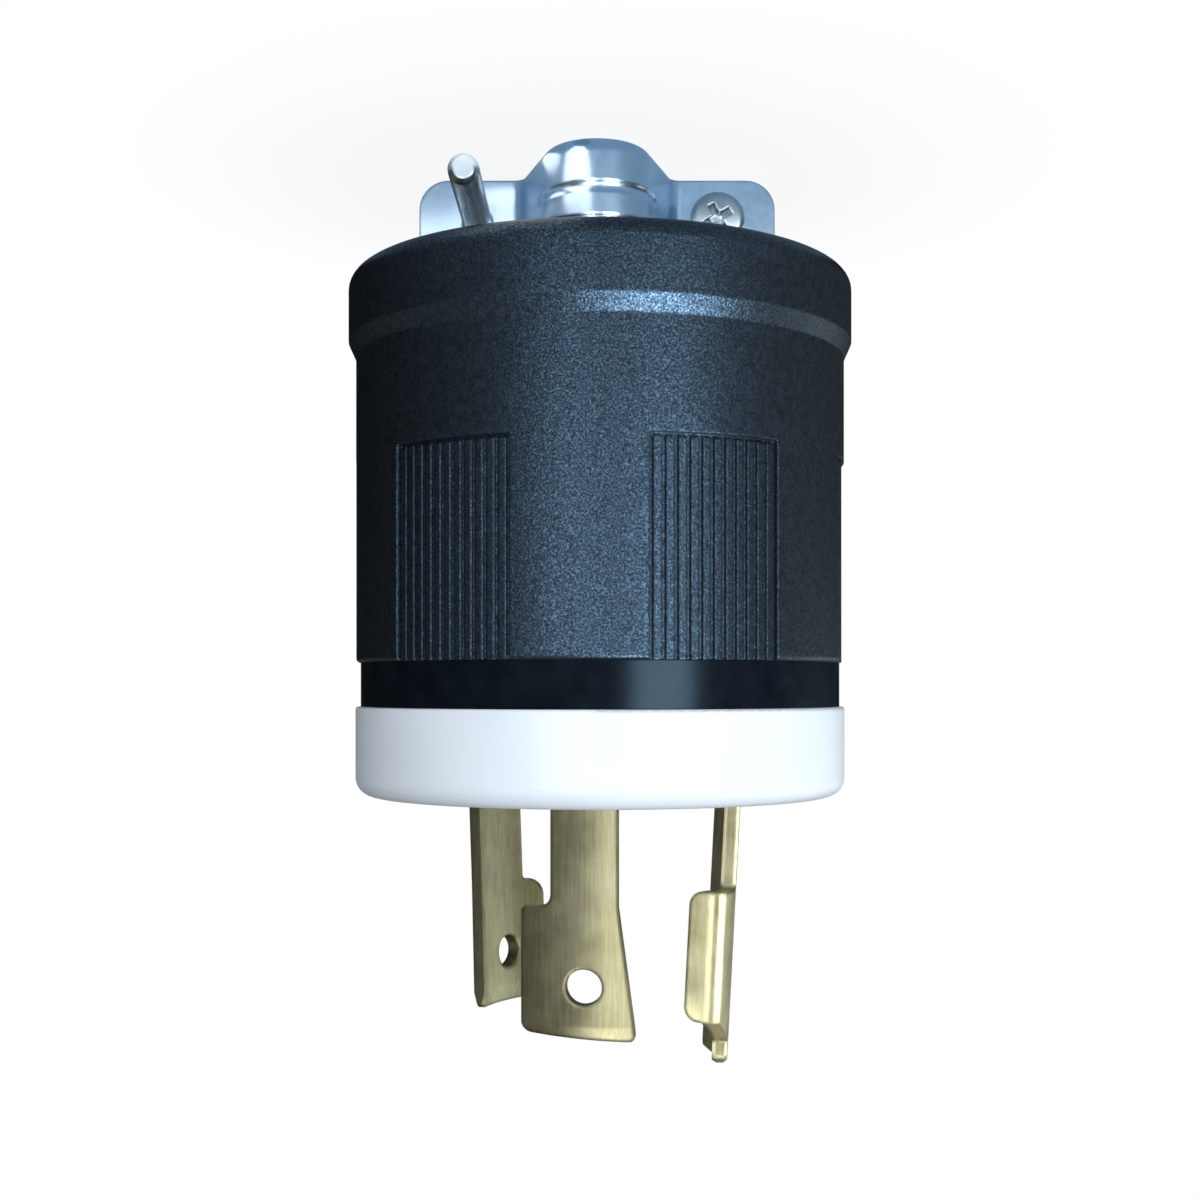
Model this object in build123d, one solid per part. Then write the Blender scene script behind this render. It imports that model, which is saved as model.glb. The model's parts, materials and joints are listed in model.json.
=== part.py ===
from build123d import *
from math import asin, cos, degrees, radians, sin
import os

# All sizes are in millimetres and degrees. Heights run from the plane that the
# cord clamp stands on towards the tips of the blades. Angles run from +Y
# towards +X.

# Housing shell
flange_r = 26.0
flange_h = 7.0
rim_round = 1.8
rim_wall = 3.8
rear_recess = 2.0
rear_wall = 3.0
chamfer_h = 1.7
shell_r = 25.24
shell_h = 39.8
shell_wall = 2.6
shell_edge = 0.4
cord_r = 12.5

# Grip panels
panel_count = 6
panel_angle = 25.6
panel_h = 20.5
panel_sink = 0.25
rib_count = 11
rib_w = 0.82
rib_gap = 0.35
groove_w = 0.38
groove_d = 0.6

# Screw bosses of the shell
boss_set = 3.74
boss_w = 8.0
boss_h = 14.6
boss_angles = (44.0, 166.0, -64.0)

# Contact carrier
band_r = 24.77
band_h = 4.5
spigot_h = 4.0
block_r = 19.5
block_h = 16.0
well_w = 11.0
well_floor = 4.0
peg_r = 2.5
peg_h = 2.2
fit_gap = 0.3

# Front face
face_r = 25.3
face_h = 9.1
face_round = 1.9
face_edge = 0.3
slot_gap = 0.2

# Blades
blade_r = 14.7
blade_t = 1.5
blade_h = 23.1
tab_h = 13.0
lead_h = 1.6
lead_d = 0.42
hole_w = 3.5
hole_up = 5.4
corner_r = 1.1
line_angle = -6.2
line_w = 6.5
line_tab_w = 3.0
line_tab_r = 0.5
line_notch_r = 1.3
line_flare = 1.7
line_slant = 0.9
neutral_angle = -121.5
neutral_w = 7.4
neutral_tab_w = 2.5
neutral_tab_r = 1.9
neutral_notch_r = 0.4
neutral_flare = 0.4
neutral_lean = 2.3
neutral_hole_side = 1.2
ground_angle = 93.75
ground_w = 7.5
ground_h = 27.8
ground_lean = 3.0
ground_lead = 0.5
hook_start = 9.7
hook_h = 13.2
hook_tab_w = 4.4
hook_in = 3.6
hook_round = 1.5
hook_slant = 2.4

# Blade tails and terminals
tail_set = 0.3
shoulder_w = 9.4
shoulder_h = 1.8
tail_w = 7.4
tail_end = 2.4
terminal_in = 9.1
terminal_r = 1.95
terminal_l = 8.0
terminal_head_r = 3.6
terminal_head_h = 2.6
access_gap = 0.5
clamp_plate_w = 9.0
clamp_plate_h = 9.0
clamp_plate_t = 1.8
clamp_lip = 0.9
wire_space = 2.8
thread_gap = 0.05
pass_gap = 0.25
well_end_gap = 0.5

# Dust shield
shield_t = 1.2
shield_edge = 0.5
wire_hole_r = 3.0

# Assembly screws
assembly_r = 1.7
assembly_l = 22.0
assembly_head_r = 3.0
assembly_head_h = 2.2
counterbore_d = 3.0
counterbore_gap = 0.4

# Cord clamp
clamp_shift = -0.3
saddle_h = 12.3
sheet_t = 1.5
saddle_gap = 4.0
ear_w = 36.4
ear_drop = 0.7
ear_round = 3.0
hump_r = 5.5
hump_reach = 12.3
hump_draft = 17.0
hump_round = 1.5
lip_w = 0.9
bead_drops = (4.9, 8.1)
bead_w = 1.2
bead_d = 0.16
bead_reach = 5.0
bend_r = 1.2
foot_x = 15.5
foot_w = 4.0
foot_hook = 1.5
foot_gap = 0.3
foot_travel = 6.0
clamp_screw_x = 12.25
clamp_screw_drop = 5.0
clamp_screw_r = 1.48
clamp_screw_l = 25.0
clamp_head_r = 2.8
clamp_head_h = 2.1

# Cross recesses of the screws
cross_share = 1.15
cross_w = 0.8
cross_d = 1.1
point_h = 0.35

# Heights of the main planes
wall_z = saddle_h
rim_z = wall_z - rear_recess
flange_z = rim_z + flange_h
shell_z = rim_z + shell_h
band_z = shell_z + band_h
face_z = band_z + face_h
block_z = shell_z - block_h
terminal_z = band_z - well_floor - terminal_in
bore_r = shell_r - shell_wall
boss_r = bore_r - boss_set
tail_r = blade_r - tail_set
tail_in_r = tail_r - blade_t
clamp_plate_r = tail_in_r - wire_space
well_in_r = tail_r - terminal_l - well_end_gap
seat_z = face_z - counterbore_d


def turned(points):
    """Solid of revolution round Z from radius and height points."""
    outline = Polyline(*[(r, 0, z) for r, z in points], close=True)
    return revolve(make_face(outline), Axis.Z)


def hoops(solid, radius, height):
    """Round edges of a turned solid at one radius and height."""
    found = []
    for edge in solid.edges().filter_by(GeomType.CIRCLE):
        if abs(edge.radius - radius) < 0.01 and abs(edge.arc_center.Z - height) < 0.01:
            found.append(edge)
    return found


def plate(corners, near, far):
    """Plate drawn along +Y. A corner is its place across, its height and its rounding."""
    face = make_face(Polyline(*[(x, near, z) for x, z, r in corners], close=True))
    for x, z, r in corners:
        if r > 0:
            corner = face.vertices().sort_by_distance((x, near, z))[0]
            face = fillet(corner, r)
    return extrude(face, amount=far - near, dir=(0, 1, 0))


def block(x0, x1, y0, y1, z0, z1):
    """Straight block between two corners."""
    return Pos((x0 + x1) / 2, (y0 + y1) / 2, (z0 + z1) / 2) * Box(x1 - x0, y1 - y0, z1 - z0)


def rod(radius, z0, z1):
    """Round bar along Z between two heights."""
    return Pos(0, 0, (z0 + z1) / 2) * Cylinder(radius, z1 - z0)


def rod_out(radius, near, far):
    """Round bar along +Y between two distances."""
    return Pos(0, (near + far) / 2, 0) * Rot(90, 0, 0) * Cylinder(radius, far - near)


def place(angle, shape):
    """Turns a shape made towards +Y to its angle round the axis."""
    return Rot(0, 0, -angle) * shape


def screw(radius, length, head_r, head_h):
    """Pan head screw with its seat at height 0 and its head upwards."""
    head = rod(head_r, 0, head_h)
    head = fillet(hoops(head, head_r, head_h), head_h * 0.45)
    recess = Pos(0, 0, head_h) * Box(head_r * cross_share, cross_w, 2 * cross_d)
    head = head - recess - Rot(0, 0, 90) * recess
    shank = rod(radius, -length, 0)
    shank = chamfer(hoops(shank, radius, -length), point_h)
    return shank + head


# Housing shell: turned form, then grips, bosses and openings
shell = turned([
    (cord_r, wall_z),
    (flange_r - rim_wall, wall_z),
    (flange_r - rim_wall, rim_z),
    (flange_r, rim_z),
    (flange_r, flange_z),
    (shell_r, flange_z + chamfer_h),
    (shell_r, shell_z),
    (bore_r, shell_z),
    (bore_r, wall_z + rear_wall),
    (cord_r, wall_z + rear_wall),
])
shell = fillet(hoops(shell, flange_r, rim_z), rim_round)
shell = fillet(hoops(shell, shell_r, shell_z), shell_edge)
shell = fillet(hoops(shell, cord_r, wall_z), rear_wall / 4)

# Sunk grip panels, each with grooves that leave upright ribs
panel_z = shell_z - panel_h
rib_pitch = degrees((rib_w + groove_w) / shell_r)
panel_half = radians(rib_pitch * rib_count / 2) * shell_r + groove_w / 2
panel_top = shell_r + 1
sink = turned([
    (shell_r - groove_d, panel_z),
    (panel_top, panel_z),
    (panel_top, shell_z + 1),
    (shell_r - panel_sink, shell_z + 1),
    (shell_r - panel_sink, panel_z + rib_gap),
    (shell_r - groove_d, panel_z + rib_gap),
])
half = panel_half * cos(radians(rib_pitch * rib_count / 2))
sink = sink & block(-half, half, 0, panel_top + 1, panel_z, shell_z + 1)
groove = block(
    -groove_w / 2, groove_w / 2,
    shell_r - groove_d, panel_top,
    panel_z + rib_gap / 2, shell_z + 1,
)
cuts = []
for panel in range(panel_count):
    middle = panel_angle + panel * 360 / panel_count
    cuts.append(place(middle, sink))
    for rib in range(rib_count + 1):
        cuts.append(place(middle + (rib - rib_count / 2) * rib_pitch, groove))
shell = shell - cuts

# Bosses that take the assembly screws
boss = Pos(0, boss_r, 0) * rod(boss_w / 2, shell_z - boss_h, shell_z)
boss = boss & rod(bore_r + shell_wall / 2, shell_z - boss_h, shell_z)
pilot_z = seat_z - assembly_l - point_h
pilot = Pos(0, boss_r, 0) * rod(assembly_r + thread_gap, pilot_z, face_z)
for angle in boss_angles:
    shell = shell + place(angle, boss)
for angle in boss_angles:
    shell = shell - place(angle, pilot)

# Slots in the rear wall for the feet of the saddles
slot = block(
    foot_x - foot_w / 2 - foot_gap, foot_x + foot_w / 2 + foot_gap,
    saddle_gap / 2 - foot_gap, saddle_gap / 2 + sheet_t + foot_travel,
    wall_z - 1, wall_z + rear_wall + 1,
)
for side in (slot, mirror(slot, Plane.YZ)):
    shell = shell - Pos(clamp_shift, 0, 0) * side
    shell = shell - Pos(clamp_shift, 0, 0) * mirror(side, Plane.XZ)

# Contact carrier: band, spigot and block with three wire wells
carrier = turned([
    (0, block_z),
    (block_r, block_z),
    (block_r, shell_z - spigot_h),
    (bore_r - fit_gap, shell_z - spigot_h),
    (bore_r - fit_gap, shell_z),
    (band_r, shell_z),
    (band_r, band_z),
    (0, band_z),
])
carrier = carrier + rod(peg_r, block_z - peg_h, block_z)
carrier = chamfer(hoops(carrier, peg_r, block_z - peg_h), fit_gap)
notch = Pos(0, boss_r, 0) * rod(boss_w / 2 + fit_gap, block_z - 1, shell_z)
clear_hole = Pos(0, boss_r, 0) * rod(assembly_r + pass_gap, shell_z - 1, face_z)
carrier = carrier - [place(angle, notch) for angle in boss_angles]
carrier = carrier - [place(angle, clear_hole) for angle in boss_angles]
well = block(
    -well_w / 2, well_w / 2,
    well_in_r, tail_r + slot_gap,
    block_z - 1, band_z - well_floor,
)
access = Pos(0, 0, terminal_z) * rod_out(terminal_head_r + access_gap, tail_in_r, flange_r)
tail_slot = block(
    -tail_w / 2 - slot_gap, tail_w / 2 + slot_gap,
    tail_in_r - slot_gap, tail_r + slot_gap,
    block_z, band_z + 1,
)
for angle in (line_angle, neutral_angle, ground_angle):
    carrier = carrier - place(angle, well) - place(angle, access) - place(angle, tail_slot)

# Front face: round disc with the blade slots and the screw recesses
front = turned([(0, band_z), (face_r, band_z), (face_r, face_z), (0, face_z)])
front = fillet(hoops(front, face_r, face_z), face_round)
front = fillet(hoops(front, face_r, band_z), face_edge)
counterbore = Pos(0, boss_r, 0) * rod(assembly_head_r + counterbore_gap, seat_z, face_z + 1)
front = front - [place(angle, clear_hole) for angle in boss_angles]
front = front - [place(angle, counterbore) for angle in boss_angles]
shoulder_pocket = block(
    -shoulder_w / 2 - slot_gap, shoulder_w / 2 + slot_gap,
    tail_in_r - slot_gap, tail_r + slot_gap,
    band_z - 1, band_z + shoulder_h + thread_gap,
)
slot_ring = turned([
    (blade_r - blade_t - slot_gap, band_z - 1),
    (blade_r + slot_gap, band_z - 1),
    (blade_r + slot_gap, face_z + 1),
    (blade_r - blade_t - slot_gap, face_z + 1),
])
for angle, width in ((line_angle, line_w), (neutral_angle, neutral_w), (ground_angle, ground_w)):
    reach = width / 2 + slot_gap
    opening = slot_ring & block(-reach, reach, 0, face_r, band_z - 1, face_z + 1)
    front = front - place(angle, opening) - place(angle, shoulder_pocket)


def blade_ring(start, end, rise, depth):
    """Curved sheet of the blades between two heights, thinned on both sides at the tip."""
    return turned([
        (blade_r - blade_t, start),
        (blade_r, start),
        (blade_r, end - rise),
        (blade_r - depth, end),
        (blade_r - blade_t + depth, end),
        (blade_r - blade_t, end - rise),
    ])


def root(width):
    """Straight part of a blade that stands in its slot of the front face."""
    straight = turned([
        (blade_r - blade_t, band_z),
        (blade_r, band_z),
        (blade_r, face_z + blade_t),
        (blade_r - blade_t, face_z + blade_t),
    ])
    return straight & block(-width / 2, width / 2, 0, blade_r + 1, band_z, face_z + blade_t / 4)


def leaned(shape, lean):
    """Tilts the free part of a blade towards the axis, about its root."""
    pivot = blade_r - blade_t / 2
    return Pos(0, pivot, face_z) * Rot(lean, 0, 0) * Pos(0, -pivot, -face_z) * shape


def tail():
    """Flat tail of a blade with its shoulder and its screw hole."""
    flat = plate([
        (-shoulder_w / 2, band_z, 0),
        (-shoulder_w / 2, band_z + shoulder_h, 0),
        (shoulder_w / 2, band_z + shoulder_h, 0),
        (shoulder_w / 2, band_z, 0),
        (tail_w / 2, band_z, 0),
        (tail_w / 2, block_z + tail_end, corner_r),
        (-tail_w / 2, block_z + tail_end, corner_r),
        (-tail_w / 2, band_z, 0),
    ], tail_in_r, tail_r)
    hole = Pos(0, 0, terminal_z) * rod_out(terminal_r + pass_gap, tail_in_r - 1, tail_r + 1)
    return flat - hole


def locking_blade(width, tab_w, tab_r, notch_r, flare, slant=0, lean=0, hole_side=0):
    """Curved blade with a tab on one side, a flare on the other and a round hole."""
    tip = face_z + blade_h
    outline = plate([
        (-width / 2, face_z - blade_t, 0),
        (-width / 2, tip - tab_h, notch_r),
        (-width / 2 - tab_w, tip - tab_h, tab_r),
        (-width / 2 - tab_w, tip - slant, corner_r),
        (width / 2 + flare, tip, corner_r / 2),
        (width / 2, tip - tab_h, 0),
        (width / 2, face_z - blade_t, 0),
    ], blade_r / 2, blade_r + 1)
    hole = Pos(-hole_side, 0, tip - hole_up) * rod_out(hole_w / 2, blade_r / 2, blade_r + 1)
    foot = (blade_ring(face_z - blade_t, tip, lead_h, lead_d) & outline) - hole
    return root(width) + leaned(foot, lean) + tail()


def hooked_blade(width):
    """Longer curved blade that leans in, with its tab bent inwards as a hook."""
    tip = face_z + ground_h
    start = face_z + hook_start
    end = start + hook_h
    side = -width / 2 - hook_tab_w
    turn = degrees(asin(-side / blade_r))
    foot = plate([
        (-width / 2, face_z, 0),
        (-width / 2, start, corner_r / 2),
        (side + blade_t / 2, start, 0),
        (side + blade_t / 2, end, 0),
        (-width / 2, end + hook_slant, 0),
        (-width / 2, tip, corner_r),
        (width / 2, tip, corner_r),
        (width / 2, face_z, 0),
    ], blade_r / 2, blade_r + 1)
    foot = blade_ring(face_z - blade_t, tip, ground_lead, ground_lead) & foot
    hook = Rot(0, 0, 90) * plate([
        (blade_r - hook_in, start, hook_round),
        (blade_r, start, 0),
        (blade_r, end, 0),
        (blade_r - hook_in, end, hook_round),
    ], -blade_t, 0)
    bend = hook.edges().filter_by(Axis.Z).sort_by_distance((0, blade_r, (start + end) / 2))[0]
    hook = fillet(bend, blade_t * 0.9)
    foot = foot + place(-turn, hook)
    return root(width) + leaned(foot, ground_lean) + tail()


def terminal_plate():
    """Plate that the terminal screw draws towards the tail to hold the wire."""
    outer = clamp_plate_r
    inner = outer - clamp_plate_t
    z0 = terminal_z - clamp_plate_h / 2
    z1 = terminal_z + clamp_plate_h / 2
    body = block(-clamp_plate_w / 2, clamp_plate_w / 2, inner, outer, z0, z1)
    lip = block(-clamp_plate_w / 2, -clamp_plate_w / 2 + clamp_lip, outer, outer + clamp_lip, z0, z1)
    body = body + lip + mirror(lip, Plane.YZ)
    hole = Pos(0, 0, terminal_z) * rod_out(terminal_r + thread_gap, inner - 1, outer + 1)
    return body - hole


terminal_screw = Pos(0, tail_r, terminal_z) * Rot(-90, 0, 0) * screw(
    terminal_r, terminal_l, terminal_head_r, terminal_head_h
)

# Dust shield on the carrier's peg, with a hole for each wire
shield = rod(block_r - shield_edge, block_z - shield_t, block_z)
shield = shield - rod(peg_r + thread_gap, block_z - peg_h - 1, block_z + 1)
wire_r = tail_in_r - wire_space / 2
wire_hole = Pos(0, wire_r, 0) * rod(wire_hole_r, block_z - shield_t - 1, block_z + 1)
for angle in (line_angle, neutral_angle, ground_angle):
    shield = shield - place(angle, wire_hole)

assembly_screw = Pos(0, boss_r, seat_z) * screw(
    assembly_r, assembly_l, assembly_head_r, assembly_head_h
)

# Saddles of the cord clamp: one pressing, used twice
ear_y = saddle_gap / 2 + sheet_t
nose_y = ear_y + hump_reach - hump_r


def hump_face(inset):
    """Rounded hump seen from above, drawn in by an inset."""
    r = hump_r - inset
    lean = radians(hump_draft)
    side = r * cos(lean)
    up = nose_y + r * sin(lean)
    foot = side + up * sin(lean) / cos(lean)
    sides = make_face(Polyline((-foot, 0), (-side, up), (side, up), (foot, 0), close=True))
    return sides + Pos(0, nose_y) * Circle(r)


def hump(inset, z0, z1):
    """Hump drawn between two heights and cut off at the sheet's inner side."""
    body = Pos(0, 0, z0) * extrude(hump_face(inset), amount=z1 - z0, dir=(0, 0, 1))
    return body - block(-ear_w, ear_w, -1, saddle_gap / 2, z0 - 1, z1 + 1)


ear_edge = ear_w / 2
foot_z = wall_z + rear_wall + thread_gap
half_ear = [
    (0, ear_drop, 0),
    (ear_edge, ear_drop, ear_round),
    (ear_edge, wall_z, 0),
    (foot_x + foot_w / 2, wall_z, 0),
    (foot_x + foot_w / 2, foot_z, 0),
    (foot_x + foot_w / 2 + foot_hook, foot_z, 0),
    (foot_x + foot_w / 2 + foot_hook, foot_z + sheet_t, 0),
    (foot_x - foot_w / 2, foot_z + sheet_t, 0),
    (foot_x - foot_w / 2, wall_z, 0),
    (0, wall_z, 0),
]
ear = plate(half_ear, saddle_gap / 2, ear_y)
cup = hump(0, 0, wall_z)
rim_edges = []
for edge in cup.edges():
    middle = edge.center()
    if abs(middle.Z) < 0.01 and middle.Y > saddle_gap / 2 + 0.01:
        rim_edges.append(edge)
cup = fillet(rim_edges, hump_round)

# Pressed beads run round the nose of the hump, each a round groove with round ends
groove_r = (bead_w ** 2 / 4 + bead_d ** 2) / (2 * bead_d)
bead_r = hump_r + groove_r - bead_d
lean = radians(hump_draft)
nose_x = bead_r * cos(lean)
nose_start = nose_y + bead_r * sin(lean)
bead_y = ear_y + hump_reach - bead_reach
bead_x = nose_x + (nose_start - bead_y) * sin(lean) / cos(lean)
run = Line((-bead_x, bead_y), (-nose_x, nose_start))
run = run + ThreePointArc((-nose_x, nose_start), (0, nose_y + bead_r), (nose_x, nose_start))
run = run + Line((nose_x, nose_start), (bead_x, bead_y))
bead = sweep(Plane(origin=run @ 0, z_dir=run % 0) * Circle(groove_r), path=run)
bead = bead + Pos(-bead_x, bead_y, 0) * Sphere(groove_r) + Pos(bead_x, bead_y, 0) * Sphere(groove_r)
for drop in bead_drops:
    cup = cup - Pos(0, 0, drop) * bead
saddle = cup + ear + mirror(ear, Plane.YZ)
saddle = saddle - hump(sheet_t, sheet_t, wall_z + 1)
saddle = saddle - hump(sheet_t + lip_w, -1, sheet_t + 1)

# Bends between the hump and the ears
for depth in (ear_y, saddle_gap / 2):
    bends = []
    for edge in saddle.edges().filter_by(Axis.Z):
        middle = edge.center()
        if abs(middle.Y - depth) < 0.01 and abs(middle.X) < clamp_screw_x:
            bends.append(edge)
    saddle = fillet(bends, bend_r)
tapped = Pos(-clamp_screw_x, 0, clamp_screw_drop) * rod_out(
    clamp_screw_r + thread_gap, 0, ear_y + 1
)
plain = Pos(clamp_screw_x, 0, clamp_screw_drop) * rod_out(
    clamp_screw_r + pass_gap, 0, ear_y + 1
)
saddle = saddle - tapped - plain
clamp_screw = Pos(clamp_screw_x, ear_y, clamp_screw_drop) * Rot(-90, 0, 0) * screw(
    clamp_screw_r, clamp_screw_l, clamp_head_r, clamp_head_h
)
shift = Pos(clamp_shift, 0, 0)

line_blade = locking_blade(
    line_w, line_tab_w, line_tab_r, line_notch_r, line_flare,
    slant=line_slant,
)
neutral_blade = locking_blade(
    neutral_w, neutral_tab_w, neutral_tab_r, neutral_notch_r, neutral_flare,
    lean=neutral_lean, hole_side=neutral_hole_side,
)

pieces = {
    "housing_shell": shell,
    "contact_carrier": carrier,
    "front_face": front,
    "line_blade": place(line_angle, line_blade),
    "neutral_blade": place(neutral_angle, neutral_blade),
    "ground_blade": place(ground_angle, hooked_blade(ground_w)),
    "line_terminal_plate": place(line_angle, terminal_plate()),
    "neutral_terminal_plate": place(neutral_angle, terminal_plate()),
    "ground_terminal_plate": place(ground_angle, terminal_plate()),
    "line_terminal_screw": place(line_angle, terminal_screw),
    "neutral_terminal_screw": place(neutral_angle, terminal_screw),
    "ground_terminal_screw": place(ground_angle, terminal_screw),
    "dust_shield": shield,
    "clamp_saddle_front": shift * saddle,
    "clamp_saddle_rear": shift * Rot(0, 0, 180) * saddle,
    "clamp_screw_right": shift * clamp_screw,
    "clamp_screw_left": shift * Rot(0, 0, 180) * clamp_screw,
}
for number, angle in enumerate(boss_angles, 1):
    pieces["assembly_screw_" + str(number)] = place(angle, assembly_screw)

os.makedirs("parts", exist_ok=True)
for name, piece in pieces.items():
    export_step(piece, "parts/" + name + ".step")
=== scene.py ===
import bpy
import json
import math
from mathutils import Matrix, Vector


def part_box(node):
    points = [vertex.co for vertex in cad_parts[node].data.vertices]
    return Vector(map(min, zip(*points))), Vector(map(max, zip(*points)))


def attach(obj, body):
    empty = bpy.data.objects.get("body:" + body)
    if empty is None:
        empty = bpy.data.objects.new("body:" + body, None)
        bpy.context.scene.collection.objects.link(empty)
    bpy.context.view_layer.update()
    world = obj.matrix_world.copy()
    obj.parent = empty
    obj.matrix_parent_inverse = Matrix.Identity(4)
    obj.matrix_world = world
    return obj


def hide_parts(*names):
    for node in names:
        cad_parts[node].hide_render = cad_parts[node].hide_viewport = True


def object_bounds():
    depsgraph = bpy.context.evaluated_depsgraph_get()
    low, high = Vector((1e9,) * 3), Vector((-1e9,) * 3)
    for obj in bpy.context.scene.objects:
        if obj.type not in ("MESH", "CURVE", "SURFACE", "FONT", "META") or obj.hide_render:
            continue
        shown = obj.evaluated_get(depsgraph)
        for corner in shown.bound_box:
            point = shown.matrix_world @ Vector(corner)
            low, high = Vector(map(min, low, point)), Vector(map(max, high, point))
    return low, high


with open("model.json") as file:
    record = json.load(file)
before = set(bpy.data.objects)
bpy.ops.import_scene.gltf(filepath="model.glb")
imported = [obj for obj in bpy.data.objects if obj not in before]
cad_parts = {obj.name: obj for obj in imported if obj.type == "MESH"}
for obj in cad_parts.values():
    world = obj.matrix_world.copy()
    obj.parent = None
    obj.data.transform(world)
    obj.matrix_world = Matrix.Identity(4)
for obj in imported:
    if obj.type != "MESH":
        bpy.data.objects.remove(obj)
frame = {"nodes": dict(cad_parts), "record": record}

# Lengths are in metres. Bearings are in degrees from +Y, the camera's side, towards +X.
mm = 0.001
micron = 0.000001

cad_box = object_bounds()
nodes = frame["nodes"]
slots = {part["node"]: part["material_slot"] for part in frame["record"]["subparts"]}
scene = bpy.context.scene


def grey(value):
    return (value, value, value)


white = grey(1.0)


class Look:
    """Builds one node material. Its plain colour and roughness give way to linked ones."""

    def __init__(self, name, color, rough, metal=0.0):
        self.mat = bpy.data.materials.new(name)
        self.mat.use_nodes = True
        self.tree = self.mat.node_tree
        self.shader = self.tree.nodes["Principled BSDF"]
        self.shader.inputs["Base Color"].default_value = (*color, 1)
        self.shader.inputs["Roughness"].default_value = rough
        self.shader.inputs["Metallic"].default_value = metal
        self.coords = self.add("ShaderNodeTexCoord")

    def add(self, kind, **properties):
        """A node with its properties set."""
        node = self.tree.nodes.new(kind)
        for key, value in properties.items():
            setattr(node, key, value)
        return node

    def link(self, out, into):
        self.tree.links.new(out, into)

    def mapped(self, stretch):
        """Object coordinates scaled along each axis."""
        mapping = self.add("ShaderNodeMapping")
        mapping.inputs["Scale"].default_value = stretch
        self.link(self.coords.outputs["Object"], mapping.inputs["Vector"])
        return mapping.outputs["Vector"]

    def noise(self, scale, detail=2.0, stretch=(1, 1, 1), roughness=0.5):
        """Noise through the object, finer with a larger scale."""
        node = self.add("ShaderNodeTexNoise")
        node.inputs["Scale"].default_value = scale
        node.inputs["Detail"].default_value = detail
        node.inputs["Roughness"].default_value = roughness
        self.link(self.mapped(stretch), node.inputs["Vector"])
        return node.outputs["Fac"]

    def ramp(self, value, stops):
        """A colour ramp over a value, from (place, colour) stops."""
        node = self.add("ShaderNodeValToRGB")
        ramp = node.color_ramp
        while len(ramp.elements) < len(stops):
            ramp.elements.new(0.5)
        for element, (place, color) in zip(ramp.elements, stops):
            element.position = place
            element.color = (*color, 1)
        self.link(value, node.inputs["Fac"])
        return node.outputs["Color"]

    def shade(self, value, dark, light, low=0.3, high=0.7):
        """Base colour that runs from dark to light as a value goes from low to high."""
        colors = self.ramp(value, [(low, dark), (high, light)])
        self.link(colors, self.shader.inputs["Base Color"])

    def rough(self, value, low, high):
        """Roughness between two numbers as a value goes from 0 to 1."""
        node = self.add("ShaderNodeMapRange")
        node.inputs["To Min"].default_value = low
        node.inputs["To Max"].default_value = high
        self.link(value, node.inputs["Value"])
        self.link(node.outputs["Result"], self.shader.inputs["Roughness"])

    def shine(self, ior, tint):
        """Strength and tint of the reflections of a plastic."""
        self.shader.inputs["IOR"].default_value = ior
        self.shader.inputs["Specular Tint"].default_value = (*tint, 1)

    def soft_edges(self, radius):
        """Normals that run round each edge, as on a real worn or moulded edge."""
        node = self.add("ShaderNodeBevel", samples=6)
        node.inputs["Radius"].default_value = radius
        return node.outputs["Normal"]

    def bump(self, height, distance, strength, under=None):
        """Bump from a height between 0 and 1, on top of other normals."""
        node = self.add("ShaderNodeBump")
        node.inputs["Distance"].default_value = distance
        node.inputs["Strength"].default_value = strength
        self.link(height, node.inputs["Height"])
        if under is not None:
            self.link(under, node.inputs["Normal"])
        self.link(node.outputs["Normal"], self.shader.inputs["Normal"])
        return node.outputs["Normal"]


def shell_look():
    look = Look("shell_plastic", (0.008, 0.01, 0.013), rough=0.4)
    look.shine(ior=1.6, tint=(0.4, 0.68, 1.0))
    grain = look.noise(5200, detail=3.0, roughness=0.6)
    coarse = look.noise(1500)
    look.shade(coarse, dark=(0.004, 0.005, 0.006), light=(0.007, 0.008, 0.01), low=0.35)
    look.rough(coarse, 0.33, 0.4)
    spark = look.ramp(grain, [(0.38, grey(0.1)), (0.54, grey(0.4)), (0.66, white)])
    look.link(spark, look.shader.inputs["Specular IOR Level"])
    waves = look.bump(coarse, 50 * micron, 0.6, look.soft_edges(0.3 * mm))
    look.bump(grain, 30 * micron, 1.0, waves)
    return look.mat


def carrier_look():
    look = Look("carrier_plastic", (0.006, 0.009, 0.014), rough=0.16)
    look.shine(ior=1.28, tint=(0.5, 0.75, 1.0))
    waves = look.noise(400)
    look.shade(waves, dark=(0.004, 0.006, 0.01), light=(0.009, 0.013, 0.019))
    look.rough(look.noise(700, detail=3.0), 0.2, 0.26)
    look.bump(waves, 4 * micron, 0.4, look.soft_edges(0.15 * mm))
    return look.mat


def face_look():
    look = Look("face_plastic", (0.78, 0.8, 0.84), rough=0.38)
    clouds = look.noise(90, detail=3.0)
    look.shade(clouds, dark=(0.75, 0.775, 0.815), light=(0.8, 0.815, 0.845))
    look.rough(look.noise(1200), 0.33, 0.45)
    look.bump(look.noise(2600), 20 * micron, 0.5, look.soft_edges(0.2 * mm))
    look.shader.inputs["Subsurface Weight"].default_value = 0.05
    look.shader.inputs["Subsurface Radius"].default_value = grey(2 * mm)
    return look.mat


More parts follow.
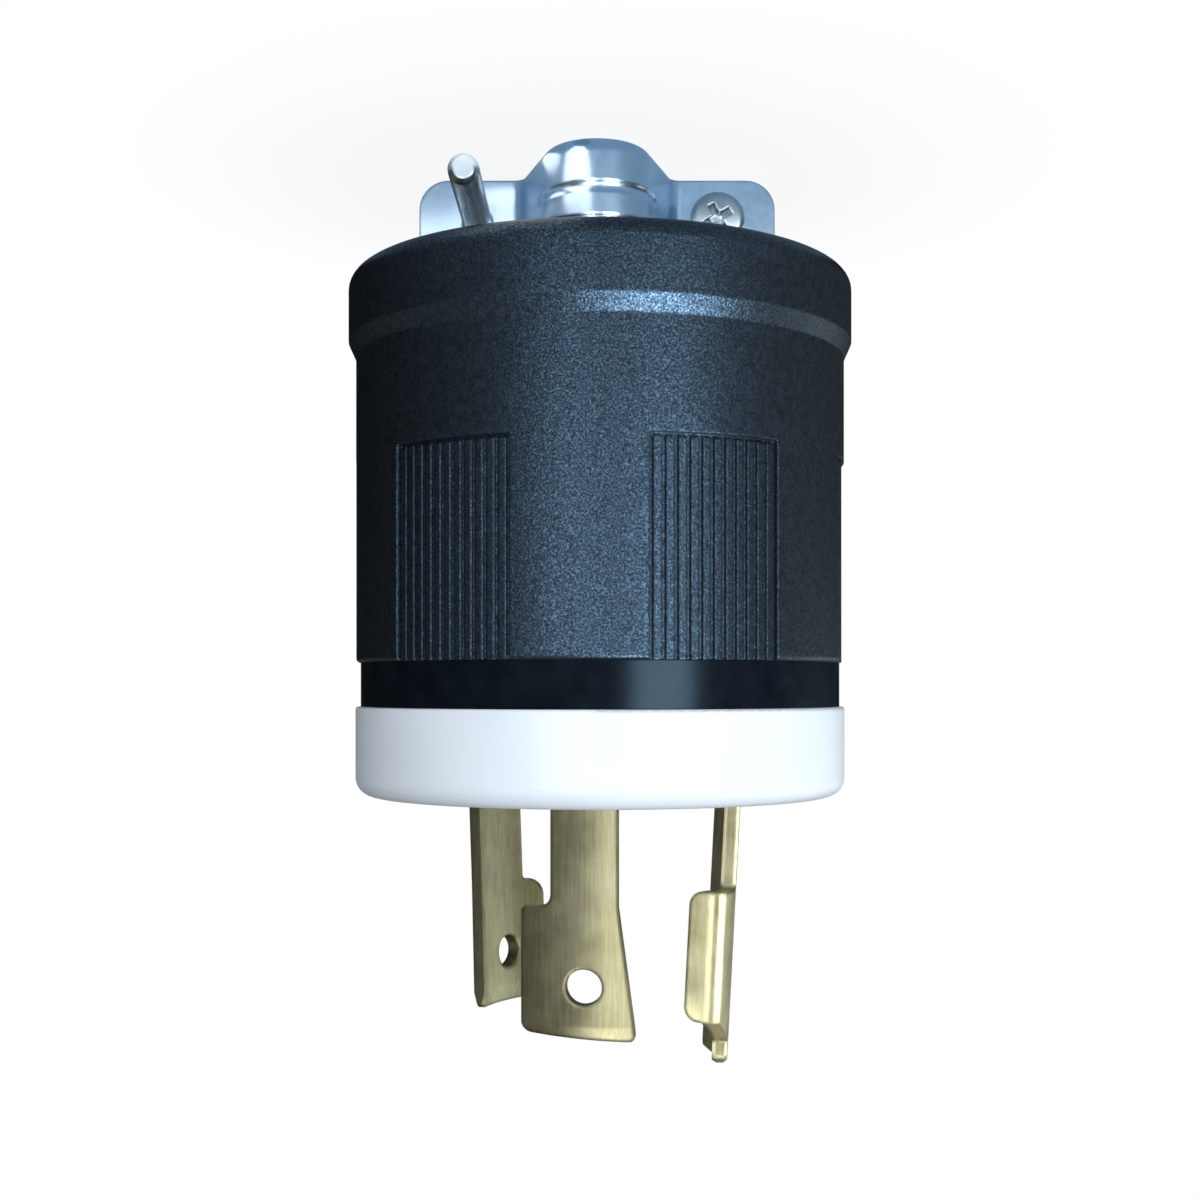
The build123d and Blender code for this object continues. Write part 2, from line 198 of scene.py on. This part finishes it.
def brass_look(name, dark, light, rough, edge):
    """Brass brushed lengthwise, with soft clouds in its colour."""
    look = Look(name, light, rough, metal=1.0)
    brush = look.noise(4200, stretch=(1, 1, 0.05))
    clouds = look.noise(330, detail=4.0, roughness=0.6)
    mix = look.add("ShaderNodeMix", data_type="FLOAT")
    factor, first, second = mix.inputs[0], mix.inputs[2], mix.inputs[3]
    factor.default_value = 0.6
    look.link(brush, first)
    look.link(clouds, second)
    look.shade(mix.outputs[0], dark, light, low=0.35, high=0.65)
    look.rough(clouds, rough - 0.07, rough + 0.1)
    look.bump(brush, 6 * micron, 0.6, look.soft_edges(edge))
    return look.mat


def metal_look(name, dark, light, rough, grain=1800):
    """Plated steel with a fine grain, finer with a larger number."""
    look = Look(name, light, rough, metal=1.0)
    look.shade(look.noise(260, detail=4.0), dark, light)
    look.rough(look.noise(grain, detail=3.0), rough - 0.04, rough + 0.05)
    look.bump(look.noise(grain), 3 * micron, 0.5, look.soft_edges(0.3 * mm))
    return look.mat


def rubber_look():
    look = Look("shield_rubber", grey(0.02), rough=0.7)
    look.rough(look.noise(1500, detail=3.0), 0.6, 0.85)
    look.bump(look.noise(3000), 50 * micron, 0.6)
    return look.mat


def green_look():
    look = Look("green_screw", (0.05, 0.3, 0.1), rough=0.35, metal=0.6)
    look.shade(look.noise(500, detail=3.0), dark=(0.03, 0.22, 0.07), light=(0.06, 0.34, 0.12))
    look.bump(look.noise(2500), 30 * micron, 0.5)
    return look.mat


looks = {
    "shell_plastic": shell_look(),
    "carrier_plastic": carrier_look(),
    "face_plastic": face_look(),
    "blade_brass": brass_look(
        "blade_brass", dark=(0.37, 0.33, 0.2), light=(0.56, 0.53, 0.35), rough=0.4, edge=0.6 * mm
    ),
    "terminal_brass": brass_look(
        "terminal_brass", dark=(0.5, 0.36, 0.14), light=(0.68, 0.52, 0.25), rough=0.3, edge=0.2 * mm
    ),
    "nickel_screw": metal_look(
        "nickel_screw", dark=(0.55, 0.54, 0.5), light=(0.72, 0.71, 0.67), rough=0.25
    ),
    "green_screw": green_look(),
    "shield_rubber": rubber_look(),
    "zinc_steel": metal_look(
        "zinc_steel", dark=(0.52, 0.66, 0.8), light=(0.64, 0.77, 0.92), rough=0.24, grain=1500
    ),
    "zinc_screw": metal_look(
        "zinc_screw", dark=(0.4, 0.46, 0.5), light=(0.6, 0.64, 0.66), rough=0.32
    ),
}

for name, obj in nodes.items():
    obj.data.materials.clear()
    obj.data.materials.append(looks[slots[name]])


def ring_mesh(name, rings):
    """A closed mesh from rings of points, each ring the same length, with both ends capped."""
    count = len(rings[0])
    points = [p for ring in rings for p in ring]
    faces = []
    for i in range(len(rings) - 1):
        for j in range(count):
            k = (j + 1) % count
            faces.append((i * count + j, i * count + k, (i + 1) * count + k, (i + 1) * count + j))
    faces.append(tuple(reversed(range(count))))
    faces.append(tuple(range((len(rings) - 1) * count, len(rings) * count)))
    mesh = bpy.data.meshes.new(name)
    mesh.from_pydata(points, [], faces)
    mesh.validate()
    obj = bpy.data.objects.new(name, mesh)
    scene.collection.objects.link(obj)
    return obj


def cross_cutter(name, reach, width, depth):
    """A tapered cross: full size at height 0, narrow at its foot and wider above."""
    foot, top = 0.35, 1.4
    arm_taper = 0.3
    rings = []
    for z, grow in ((-depth, foot), (0.0, 1.0), (depth, top)):
        r = reach * grow
        w = width / 2 * (1 - arm_taper + arm_taper * grow)
        corners = [(r, -w), (r, w), (w, w)]
        ring = []
        for quarter in range(4):
            c, s = math.cos(quarter * math.pi / 2), math.sin(quarter * math.pi / 2)
            ring += [(c * x - s * y, s * x + c * y, z) for x, y in corners]
        rings.append(ring)
    return ring_mesh(name, rings)


def cut(obj, cutter):
    """Takes the cutter's shape out of the object's mesh and deletes the cutter."""
    change = obj.modifiers.new("cut", "BOOLEAN")
    change.operation = "DIFFERENCE"
    change.solver = "EXACT"
    change.object = cutter
    bpy.context.view_layer.update()
    made = bpy.data.meshes.new_from_object(obj.evaluated_get(bpy.context.evaluated_depsgraph_get()))
    obj.modifiers.clear()
    obj.data = made
    bpy.data.objects.remove(cutter)


# Screws: points in each ring, rings in one turn of the thread, and the angle shown as sharp
ring_points = 40
thread_steps = 6
sharp_angle = math.radians(35)


def round_ring(radii, z):
    """Points once round the axis at one height, from the radius of each."""
    ring = []
    for j, r in enumerate(radii):
        a = 2 * math.pi * j / ring_points
        ring.append((math.cos(a) * r, math.sin(a) * r, z))
    return ring


def thread_rings(length, shank_r, pitch):
    """A threaded shank below height 0, tapered at its tip and plain for a pitch at its neck."""
    depth = 0.5 * pitch
    # Share of the pitch that each flank takes, beside a flat crest as wide
    flank = 1 / 3
    tip_cut = 0.0005
    tip_slope = 0.9
    count = round(length / pitch * thread_steps)
    rings = []
    for i in range(count + 1):
        z = -length + length * i / count
        tip_r = shank_r - tip_cut + (z + length) * tip_slope
        radii = []
        for j in range(ring_points):
            place = (z / pitch - j / ring_points) % 1
            from_root = 0.5 - abs(place - 0.5)
            tooth = min(1.0, from_root / flank)
            radii.append(min(shank_r - depth * (1 - tooth), tip_r))
        if z > -pitch:
            radii = [shank_r] * ring_points
        rings.append(round_ring(radii, z))
    return rings


def head_rings(head_r, head_height):
    """A pan head above height 0: straight rim, rounded shoulder and nearly flat top."""
    # Shares of the head's radius and height
    rim = 0.5
    round_in, round_up = 0.28, 0.42
    steps = 6
    profile = [(1.0, 0.0), (1.0, rim)]
    for k in range(1, steps + 1):
        a = math.pi / 2 * k / steps
        profile.append((1 - round_in + round_in * math.cos(a), rim + round_up * math.sin(a)))
    profile += [(0.45, 0.98), (0.2, 1.0)]
    return [round_ring([head_r * r] * ring_points, head_height * z) for r, z in profile]


def detailed_screw(node, head_way, head_height, shank_r, pitch, cross_turn):
    """Pan head screw with a cut thread and a cross recess, in the place of a CAD node."""
    low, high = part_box(node)
    span = high - low
    along = max(range(3), key=lambda i: span[i])
    across = (along + 1) % 3
    head_r = span[across] / 2
    length = span[along] - head_height
    seat = (low + high) / 2
    end = high[along] if head_way[along] > 0 else low[along]
    seat[along] = end - head_way[along] * head_height
    rings = thread_rings(length, shank_r, pitch) + head_rings(head_r, head_height)
    piece = ring_mesh(node + "_detail", rings)
    cutter = cross_cutter(
        node + "_cross", reach=0.58 * head_r, width=0.26 * head_r, depth=0.62 * head_height
    )
    head_top = Matrix.Translation((0, 0, head_height))
    cutter.data.transform(head_top @ Matrix.Rotation(cross_turn, 4, "Z"))
    cut(piece, cutter)
    turn = Vector((0, 0, 1)).rotation_difference(Vector(head_way)).to_matrix().to_4x4()
    piece.data.transform(Matrix.Translation(seat) @ turn)
    piece.data.materials.clear()
    piece.data.materials.append(looks[slots[node]])
    for face in piece.data.polygons:
        face.use_smooth = True
    piece.data.set_sharp_from_angle(angle=sharp_angle)
    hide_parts(node)
    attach(piece, "root")


clamp_screw = {"head_height": 0.0021, "shank_r": 0.00148, "pitch": 0.0005}
assembly_screw = {"head_height": 0.0022, "shank_r": 0.0017, "pitch": 0.0008}
detailed_screw("clamp_screw_right", (0, 1, 0), cross_turn=0.5, **clamp_screw)
detailed_screw("clamp_screw_left", (0, -1, 0), cross_turn=1.1, **clamp_screw)
for number, cross_turn in ((1, 0.3), (2, 0.9), (3, 1.3)):
    detailed_screw("assembly_screw_" + str(number), (0, 0, 1), cross_turn=cross_turn, **assembly_screw)


# All lamps look at the middle of the plug's height
lamp_aim = Vector((0, 0, 0.045))


def soft_lamp(name, bearing, height, distance, size, share, color):
    """A rectangular lamp that gives a white surface facing it a share of full brightness."""
    data = bpy.data.lights.new(name, "AREA")
    data.shape = "RECTANGLE"
    data.size, data.size_y = size
    data.energy = share * (math.pi * distance) ** 2
    data.color = color
    lamp = bpy.data.objects.new(name, data)
    scene.collection.objects.link(lamp)
    a = math.radians(bearing)
    place = Vector((math.sin(a) * distance, math.cos(a) * distance, height))
    lamp.location = place
    lamp.rotation_euler = (lamp_aim - place).to_track_quat("-Z", "Y").to_euler()
    return lamp


def link_lamp(lamp, state, *wanted):
    """The lamp lights only, or leaves out, the CAD nodes named by slot or by node."""
    group = bpy.data.collections.new(lamp.name + "_group")
    for name, obj in nodes.items():
        if slots[name] in wanted or name in wanted:
            group.objects.link(obj)
    lamp.light_linking.receiver_collection = group
    for entry in group.collection_objects:
        entry.light_linking.link_state = state


# Lamps for the plug as a whole
cool = (0.86, 0.94, 1.0)
key_right = soft_lamp(
    "key_right", bearing=28, height=0.06, distance=0.5, size=(0.24, 0.13), share=0.52, color=cool
)
link_lamp(key_right, "EXCLUDE", "blade_brass")
key_left = soft_lamp(
    "key_left", bearing=-12, height=0.06, distance=0.5, size=(0.16, 0.11), share=0.38, color=cool
)
link_lamp(key_left, "EXCLUDE", "blade_brass", "carrier_plastic")
fill_right = soft_lamp(
    "fill_right", bearing=80, height=0.35, distance=0.6, size=(0.4, 0.4), share=0.5, color=cool
)
fill_right.visible_glossy = False
soft_lamp("top", bearing=150, height=0.7, distance=0.3, size=(0.4, 0.4), share=0.4, color=white)

# Lamps for the shell alone and for the blades alone
pale = (0.96, 1.0, 0.94)
shell_high = soft_lamp(
    "shell_high", bearing=28, height=0.38, distance=0.5, size=(0.44, 0.1), share=4.2, color=cool
)
link_lamp(shell_high, "INCLUDE", "shell_plastic")
brass_middle = soft_lamp(
    "brass_middle", bearing=16, height=0.17, distance=0.6, size=(0.34, 0.22), share=0.2, color=pale
)
link_lamp(brass_middle, "INCLUDE", "line_blade", "neutral_blade")
hook_left = soft_lamp(
    "hook_left", bearing=-40, height=0.17, distance=0.6, size=(0.5, 0.22), share=0.75, color=pale
)
hook_left.data.use_shadow = False
link_lamp(hook_left, "INCLUDE", "ground_blade")
hook_right = soft_lamp(
    "hook_right", bearing=58, height=0.17, distance=0.6, size=(0.36, 0.22), share=1.1, color=pale
)
link_lamp(hook_right, "INCLUDE", "ground_blade")
brass_high = soft_lamp(
    "brass_high", bearing=10, height=0.5, distance=0.5, size=(0.4, 0.12), share=0.5, color=pale
)
link_lamp(brass_high, "INCLUDE", "blade_brass")


def card(name, centre, bearing, wide, edges, color, glow):
    """
    A studio card that shows only in reflections. It runs round a centre, some degrees wide,
    between two edges that are each a radius and a height.
    """
    steps = 24
    points = []
    for i in range(steps + 1):
        a = math.radians(bearing - wide / 2 + wide * i / steps)
        for r, z in edges:
            points.append((centre[0] + math.sin(a) * r, centre[1] + math.cos(a) * r, z))
    faces = [(2 * i, 2 * i + 2, 2 * i + 3, 2 * i + 1) for i in range(steps)]
    mesh = bpy.data.meshes.new(name)
    mesh.from_pydata(points, [], faces)
    board = bpy.data.objects.new(name, mesh)
    scene.collection.objects.link(board)
    look = Look(name, color, rough=0.9)
    look.rough(look.noise(5), 0.8, 0.95)
    look.shader.inputs["Emission Color"].default_value = (*color, 1)
    look.shader.inputs["Emission Strength"].default_value = glow
    mesh.materials.append(look.mat)
    board.visible_camera = False
    board.visible_shadow = False
    board.visible_diffuse = False


def standing_card(name, bearing, wide, distance, low, high, color, glow=0.0):
    """A card that stands round the object."""
    card(name, (0, 0), bearing, wide, ((distance, low), (distance, high)), color, glow)


def lying_card(name, height, near, far, color, glow=0.0, centre=(0, 0), bearing=0, wide=360):
    """A level card: a ring round a point, or a part of one."""
    card(name, centre, bearing, wide, ((far, height), (near, height)), color, glow)


# Cards round and over the object: dark, and a little lighter in front for the brass
near_black = (0.012, 0.013, 0.014)
wall, low_top, high_top = 0.8, 0.13, 0.8
back = {"bearing": 180, "wide": 220, "distance": wall}
front = {"bearing": 0, "wide": 140, "distance": wall}
lower = {"low": 0.0, "high": low_top}
upper = {"low": low_top, "high": high_top}
standing_card("low_back", color=near_black, **back, **lower)
standing_card("low_front", color=(0.03, 0.034, 0.04), glow=1.0, **front, **lower)
standing_card("high_back", color=(0.08, 0.08, 0.07), glow=1.0, **back, **upper)
standing_card("high_front", color=(0.14, 0.135, 0.12), glow=1.0, **front, **upper)
standing_card("strip_right", bearing=117, wide=50, distance=0.7, low=0.1, high=0.6, color=pale, glow=0.55)
lying_card("lid", high_top, near=0.001, far=0.81, color=near_black)

# Cards on the floor, stacked in thin layers, that the gloss of the plug mirrors
floor_z = cad_box[0].z - 0.00002
nose = (-0.002, 0.0155)


def layer(count):
    """Height of a layer of cards over the floor."""
    return floor_z + count * 0.00001


lying_card("table_blue", layer(1), near=0.001, far=0.79, color=(0.1, 0.16, 0.22), glow=1.0)
lying_card("table_front", layer(2), near=0.06, far=0.78, color=(0.03, 0.04, 0.05), glow=1.0, wide=130)
lying_card("table_back", layer(2), near=0.03, far=0.78, color=near_black, bearing=180, wide=230)
lying_card(
    "table_sheet", layer(3), near=0.09, far=0.26, color=(0.9, 0.95, 1.0), glow=1.2, bearing=8, wide=74
)
lying_card(
    "table_near", layer(2.5), near=0.001, far=0.04, color=(0.15, 0.22, 0.29), glow=1.0, centre=nose
)
lying_card(
    "table_glint", layer(4), near=0.0002, far=0.0038, color=white, glow=1.3, centre=(-0.0098, 0.0117)
)
lying_card(
    "table_white", layer(3), near=0.001, far=0.026, color=white, glow=1.4,
    centre=nose, bearing=-42, wide=68,
)


def seen_rays(tree):
    """1 for rays from the camera, from glossy surfaces and through clear ones."""
    path = tree.nodes.new("ShaderNodeLightPath")
    total = path.outputs["Is Camera Ray"]
    for name in ("Is Glossy Ray", "Is Transmission Ray"):
        both = tree.nodes.new("ShaderNodeMath")
        both.operation = "MAXIMUM"
        tree.links.new(total, both.inputs[0])
        tree.links.new(path.outputs[name], both.inputs[1])
        total = both.outputs[0]
    return total


def mix_shaders(tree, share, first, second, output):
    """Leads a mix of two shaders to an output, with a share of the second."""
    mix = tree.nodes.new("ShaderNodeMixShader")
    tree.links.new(share, mix.inputs["Fac"])
    tree.links.new(first.outputs[0], mix.inputs[1])
    tree.links.new(second.outputs[0], mix.inputs[2])
    tree.links.new(mix.outputs[0], tree.nodes[output].inputs["Surface"])


def studio_world():
    """Dim pale blue light from all round, seen and mirrored as plain white."""
    world = bpy.data.worlds.new("studio")
    world.use_nodes = True
    tree = world.node_tree
    light = tree.nodes["Background"]
    light.inputs["Color"].default_value = (0.84, 0.92, 1.0, 1)
    light.inputs["Strength"].default_value = 0.24
    seen = tree.nodes.new("ShaderNodeBackground")
    seen.inputs["Color"].default_value = (*white, 1)
    seen.inputs["Strength"].default_value = 1.0
    mix_shaders(tree, seen_rays(tree), light, seen, "World Output")
    return world


def floor_look():
    """Pale floor that turns to the plain white of the background away from the object."""
    near, far = 0.02, 0.05
    near_share = 0.9
    look = Look("floor", grey(0.95), rough=0.9)
    look.shade(look.noise(3), dark=grey(0.95), light=grey(0.96))
    length = look.add("ShaderNodeVectorMath", operation="LENGTH")
    look.link(look.coords.outputs["Object"], length.inputs[0])
    away = look.add("ShaderNodeMapRange")
    away.inputs["From Min"].default_value = near
    away.inputs["From Max"].default_value = far
    away.inputs["To Min"].default_value = near_share
    away.inputs["To Max"].default_value = 1.0
    look.link(length.outputs["Value"], away.inputs["Value"])
    share = look.add("ShaderNodeMath", operation="MULTIPLY")
    look.link(seen_rays(look.tree), share.inputs[0])
    look.link(away.outputs["Result"], share.inputs[1])
    plain = look.add("ShaderNodeEmission")
    plain.inputs["Color"].default_value = (*white, 1)
    plain.inputs["Strength"].default_value = 1.0
    mix_shaders(look.tree, share.outputs[0], look.shader, plain, "Material Output")
    return look.mat


def studio_floor():
    reach = 6.0
    corners = [(-reach, -reach, 0), (reach, -reach, 0), (reach, reach, 0), (-reach, reach, 0)]
    mesh = bpy.data.meshes.new("floor")
    mesh.from_pydata(corners, [], [(0, 1, 2, 3)])
    mesh.materials.append(floor_look())
    floor = bpy.data.objects.new("floor", mesh)
    scene.collection.objects.link(floor)
    floor.location.z = floor_z


def photo_camera():
    """Camera at the photo's place, upside down as the plug stands on its clamp here."""
    distance, height = 0.1726, 0.0525
    data = bpy.data.cameras.new("camera")
    data.lens = 49.5
    data.sensor_width = 36
    data.shift_y = 0.0718
    data.clip_start = 0.01
    camera = bpy.data.objects.new("camera", data)
    scene.collection.objects.link(camera)
    camera.matrix_world = Matrix((
        (1, 0, 0, 0),
        (0, 0, 1, distance),
        (0, -1, 0, height),
        (0, 0, 0, 1),
    ))
    return camera


scene.world = studio_world()
studio_floor()
scene.camera = photo_camera()

scene.view_settings.view_transform = "Standard"
